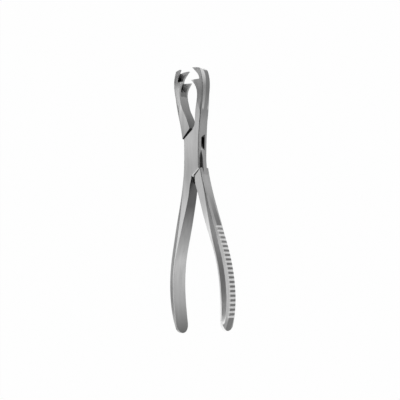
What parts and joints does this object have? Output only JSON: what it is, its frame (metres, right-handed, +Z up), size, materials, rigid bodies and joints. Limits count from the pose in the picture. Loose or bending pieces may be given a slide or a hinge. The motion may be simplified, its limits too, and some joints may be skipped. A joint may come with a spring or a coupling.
{
  "type": "bone holding forceps",
  "caption": "Hinged steel forceps with a box joint: toothed, scooped jaws grip bone when the long bowed handles are squeezed together.",
  "frame": {"origin": "centre of the bounding box in X and Y, on the plane that the handles lie on (Z = 0), with the jaws opened as in the picture", "axes": "+X is across the arms, towards the handle with the finger grooves; +Y runs along the instrument to the jaw tips; +Z is up, along the pivot pin"},
  "size_m": [0.053, 0.19, 0.0138],
  "materials": {
    "satin_steel": "satin ground stainless steel, unpolished and darker in the slot, on the tongue and in the scoops",
    "pin_steel": "satin, ground flush with the box"
  },
  "bodies": {
    "box_arm_and_pin": {"box_arm": "satin_steel", "pivot_pin": "pin_steel"},
    "tongue_arm": {"tongue_arm": "satin_steel"}
  },
  "joints": [
    {"name": "box_joint", "type": "hinge", "parent": "box_arm_and_pin", "child": "tongue_arm", "pos_m": [0, 0.0342, 0.0069], "axis": [0, 0, 1], "range_deg": [-7.5, 18]}
  ]
}
